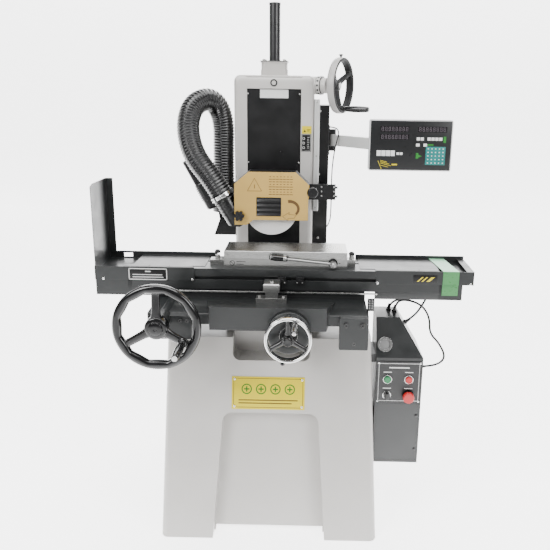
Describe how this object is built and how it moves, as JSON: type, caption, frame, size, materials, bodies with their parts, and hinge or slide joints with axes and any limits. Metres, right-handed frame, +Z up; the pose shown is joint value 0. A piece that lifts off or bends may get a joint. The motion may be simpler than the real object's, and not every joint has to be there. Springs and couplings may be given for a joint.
{
  "type": "surface grinder",
  "caption": "Manual surface grinder: pedestal base and column, cross saddle, sliding table with magnetic chuck, guarded wheel head, hand wheels, readout on an arm and a dust hose.",
  "frame": {"origin": "on the floor plane, at the centre of the four levelling holes", "axes": "+Z up, +X along the table to the operator's right, +Y away from the operator"},
  "size_m": [1.376, 1.0656, 1.9],
  "materials": {
    "enamel_grey": "satin enamel on castings",
    "tube_grey": "satin grey paint",
    "scale_grey": "satin anodised extrusion",
    "enamel_charcoal": "semi-gloss charcoal enamel",
    "table_charcoal": "semi-gloss charcoal enamel, machined top",
    "panel_charcoal": "satin with a white outline",
    "enamel_black": "semi-gloss black enamel",
    "enamel_tan": "satin golden tan enamel",
    "machined_steel": "turned and milled",
    "ground_steel": "ground",
    "iron_dark": "dark casting with a bright rim",
    "chrome": "polished",
    "gloss_black": "gloss black enamel",
    "plastic_black": "moulded",
    "plastic_green": "moulded",
    "plastic_red": "moulded",
    "console_grey": "textured moulding with a light edge",
    "arm_grey": "satin light grey paint",
    "abrasive": "vitrified abrasive grain",
    "hose_black": "ribbed glossy hose",
    "cable_black": "smooth sheath"
  },
  "bodies": {
    "machine_base": {"base_casting": "enamel_grey", "column_casting": "enamel_grey", "column_cap": "enamel_grey", "screw_tube": "tube_grey", "horn_housing": "enamel_grey", "linear_scale": "scale_grey", "rear_cabinet": "enamel_black", "control_box": "enamel_charcoal", "control_panel": "panel_charcoal", "conduit_ring": "chrome", "hose_boot": "enamel_black", "lamp_arm": "enamel_black", "control_cables": "cable_black", "signal_cable": "cable_black"},
    "start_button": {"start_button": "plastic_green"},
    "stop_button": {"stop_button": "plastic_red"},
    "emergency_stop": {"emergency_stop": "plastic_red"},
    "mode_selector": {"mode_selector": "plastic_black"},
    "head": {"head_slide": "machined_steel", "lifting_screw": "machined_steel", "spindle_housing": "enamel_black", "way_cover": "enamel_black", "guard_body": "enamel_black", "guard_cover": "enamel_tan", "hose_spigot": "enamel_black", "hose_clamp": "chrome", "dust_hose": "hose_black", "reader_bracket": "enamel_black"},
    "spindle": {"spindle_shaft": "machined_steel", "wheel_flange": "machined_steel", "grinding_wheel": "abrasive"},
    "guard_knob_left": {"guard_knob_left": "plastic_black"},
    "guard_knob_right": {"guard_knob_right": "plastic_black"},
    "elevating_nut": {"elevating_nut": "machined_steel"},
    "elevating_wheel": {"elevating_handwheel": "iron_dark", "elevating_shaft": "machined_steel"},
    "elevating_grip": {"elevating_handle": "plastic_black"},
    "saddle": {"saddle_casting": "enamel_charcoal", "bearing_block_left": "enamel_charcoal", "cover_block_right": "enamel_charcoal", "stop_block": "machined_steel", "crossfeed_flange": "enamel_charcoal"},
    "cross_wheel": {"cross_handwheel": "chrome", "cross_screw": "machined_steel"},
    "cross_grip": {"cross_handle": "plastic_black"},
    "table": {"table_casting": "table_charcoal", "trip_dogs": "enamel_black", "chuck_body": "machined_steel", "chuck_plate": "ground_steel", "chuck_clamps": "machined_steel", "tray_left": "enamel_charcoal", "tray_right": "enamel_charcoal", "splash_guard": "enamel_charcoal"},
    "chuck_lever": {"chuck_lever": "machined_steel"},
    "table_wheel": {"table_handwheel": "gloss_black", "pinion_shaft": "machined_steel"},
    "table_grip": {"table_handle": "plastic_black"},
    "readout_arm": {"readout_arm": "arm_grey"},
    "readout_console": {"readout_console": "console_grey"},
    "lamp_head": {"lamp_head": "plastic_black"}
  },
  "joints": [
    {"name": "cross_slide", "type": "slide", "parent": "machine_base", "child": "saddle", "axis": [0, 1, 0], "range_m": [-0.01, 0.19]},
    {"name": "table_slide", "type": "slide", "parent": "saddle", "child": "table", "axis": [1, 0, 0], "range_m": [-0.295, 0.205]},
    {"name": "table_wheel_turn", "type": "hinge", "parent": "saddle", "child": "table_wheel", "pos_m": [-0.365, -0.467, 0.814], "axis": [0, 1, 0], "range_deg": [-480, 340]},
    {"name": "table_grip_spin", "type": "hinge", "parent": "table_wheel", "child": "table_grip", "pos_m": [-0.28013, -0.489, 0.765], "axis": [0, 1, 0], "continuous": true},
    {"name": "cross_wheel_turn", "type": "hinge", "parent": "saddle", "child": "cross_wheel", "pos_m": [0.066, -0.472, 0.78], "axis": [0, 1, 0], "range_deg": [-735, 13725]},
    {"name": "cross_grip_spin", "type": "hinge", "parent": "cross_wheel", "child": "cross_grip", "pos_m": [0.08721, -0.4885, 0.83826], "axis": [0, 1, 0], "continuous": true},
    {"name": "head_slide_z", "type": "slide", "parent": "machine_base", "child": "head", "axis": [0, 0, 1], "range_m": [-0.023, 0.24]},
    {"name": "spindle_turn", "type": "hinge", "parent": "head", "child": "spindle", "pos_m": [-0.018, 0.018, 1.125], "axis": [0, 1, 0], "continuous": true},
    {"name": "guard_knob_left_turn", "type": "hinge", "parent": "head", "child": "guard_knob_left", "pos_m": [-0.138, -0.018, 1.103], "axis": [0, 1, 0], "continuous": true},
    {"name": "guard_knob_right_turn", "type": "hinge", "parent": "head", "child": "guard_knob_right", "pos_m": [0.141, -0.003, 1.193], "axis": [0, 1, 0], "continuous": true},
    {"name": "elevating_nut_turn", "type": "hinge", "parent": "machine_base", "child": "elevating_nut", "pos_m": [-0.022, 0.318, 1.56], "axis": [0, 0, 1], "range_deg": [-1350, 13900]},
    {"name": "elevating_wheel_turn", "type": "hinge", "parent": "machine_base", "child": "elevating_wheel", "pos_m": [0.24189, 0.19774, 1.585], "axis": [0.91, -0.4147, 0], "range_deg": [-3350, 34700]},
    {"name": "elevating_grip_spin", "type": "hinge", "parent": "elevating_wheel", "child": "elevating_grip", "pos_m": [0.25918, 0.18986, 1.497], "axis": [0.91, -0.4147, 0], "continuous": true},
    {"name": "chuck_lever_turn", "type": "hinge", "parent": "table", "child": "chuck_lever", "pos_m": [0.218, -0.177, 0.96], "axis": [0, 1, 0], "range_deg": [0, 170]},
    {"name": "readout_swing", "type": "hinge", "parent": "machine_base", "child": "readout_arm", "pos_m": [0.222, 0.3, 1.368], "axis": [0, 0, 1], "range_deg": [0, 50]},
    {"name": "readout_tilt", "type": "hinge", "parent": "readout_arm", "child": "readout_console", "pos_m": [0.454, 0.008, 1.368], "axis": [1, 0, 0], "range_deg": [-15, 15]},
    {"name": "lamp_tilt", "type": "hinge", "parent": "machine_base", "child": "lamp_head", "pos_m": [-0.262, 0.12, 1.136], "axis": [0, 1, 0], "range_deg": [-17, 7]},
    {"name": "start_press", "type": "slide", "parent": "machine_base", "child": "start_button", "axis": [0, 1, 0], "range_m": [0, 0.004], "stiffness_N_per_m": 900, "springref_m": -0.003},
    {"name": "stop_press", "type": "slide", "parent": "machine_base", "child": "stop_button", "axis": [0, 1, 0], "range_m": [0, 0.004], "stiffness_N_per_m": 900, "springref_m": -0.003},
    {"name": "emergency_press", "type": "slide", "parent": "machine_base", "child": "emergency_stop", "axis": [0, 1, 0], "range_m": [0, 0.006]},
    {"name": "selector_turn", "type": "hinge", "parent": "machine_base", "child": "mode_selector", "pos_m": [0.426, -0.254, 0.483], "axis": [0, 1, 0], "range_deg": [-45, 45]}
  ],
  "couplings": [
    {"joint": "table_wheel_turn", "follows": "table_slide", "rad_per_m": 27.778},
    {"joint": "cross_wheel_turn", "follows": "cross_slide", "rad_per_m": 1256.6},
    {"joint": "elevating_nut_turn", "follows": "head_slide_z", "rad_per_m": 1005.3},
    {"joint": "elevating_wheel_turn", "follows": "head_slide_z", "rad_per_m": 2513.3}
  ]
}
